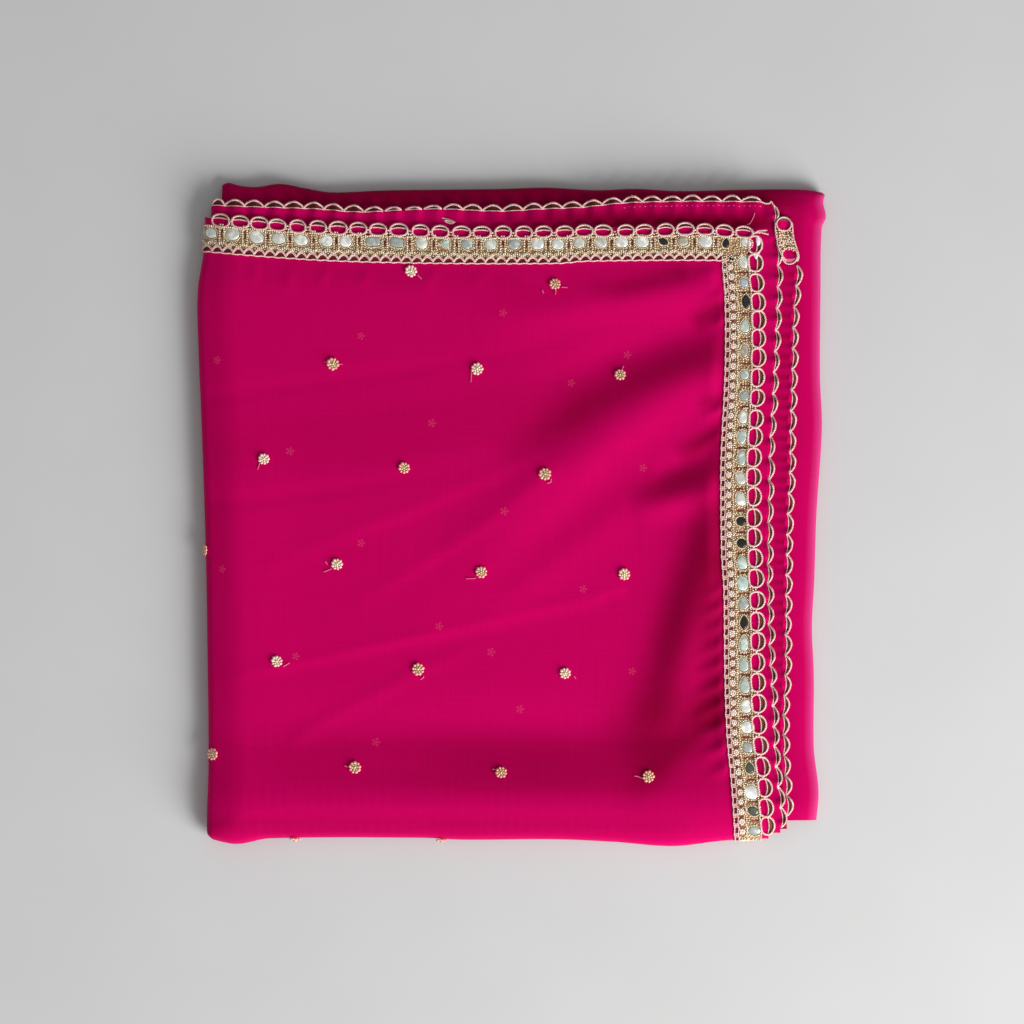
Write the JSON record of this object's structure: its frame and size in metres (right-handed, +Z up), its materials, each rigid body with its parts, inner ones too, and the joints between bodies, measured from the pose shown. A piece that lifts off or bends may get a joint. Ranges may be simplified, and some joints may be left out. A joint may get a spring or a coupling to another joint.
{
  "type": "dupatta stole",
  "caption": "Sheer dupatta stole folded into a flat square packet, with a looped mirror-work lace border and scattered sewn flowers.",
  "frame": {"origin": "centre of the bounding box at the underside, on the surface that the packet rests on", "axes": "+Z up out of the packet, the shortest extent; +Y towards the back edge, along the longest side; +X to the right, towards the edge where the lace borders show"},
  "size_m": [0.2956, 0.3122, 0.0149],
  "materials": {
    "georgette": "sheer crinkled magenta georgette with a soft satin lustre, folded in many layers",
    "zari_lace": "champagne-gold metallic thread, twisted and braided, semi-matt with small bright glints",
    "mirror_glass": "small silvered mirrors set in thread rings"
  },
  "bodies": {
    "root": {"hidden_layers": "georgette", "outer_fold": "georgette", "second_layer": "georgette", "third_layer": "georgette", "top_layer": "georgette", "lace_band_back": "zari_lace", "lace_band_side": "zari_lace", "lace_loops_back": "zari_lace", "lace_loops_side": "zari_lace", "second_scallops_back": "zari_lace", "second_scallops_side": "zari_lace", "third_scallops_side": "zari_lace", "third_corner_lace": "zari_lace", "buti_01": "zari_lace", "buti_02": "zari_lace", "buti_03": "zari_lace", "buti_04": "zari_lace", "buti_05": "zari_lace", "buti_06": "zari_lace", "buti_07": "zari_lace", "buti_08": "zari_lace", "buti_09": "zari_lace", "buti_10": "zari_lace", "buti_11": "zari_lace", "buti_12": "zari_lace", "buti_13": "zari_lace", "buti_14": "zari_lace", "buti_15": "zari_lace", "buti_16": "zari_lace", "buti_17": "zari_lace", "buti_18": "zari_lace", "buti_19": "zari_lace"}
  },
  "joints": []
}
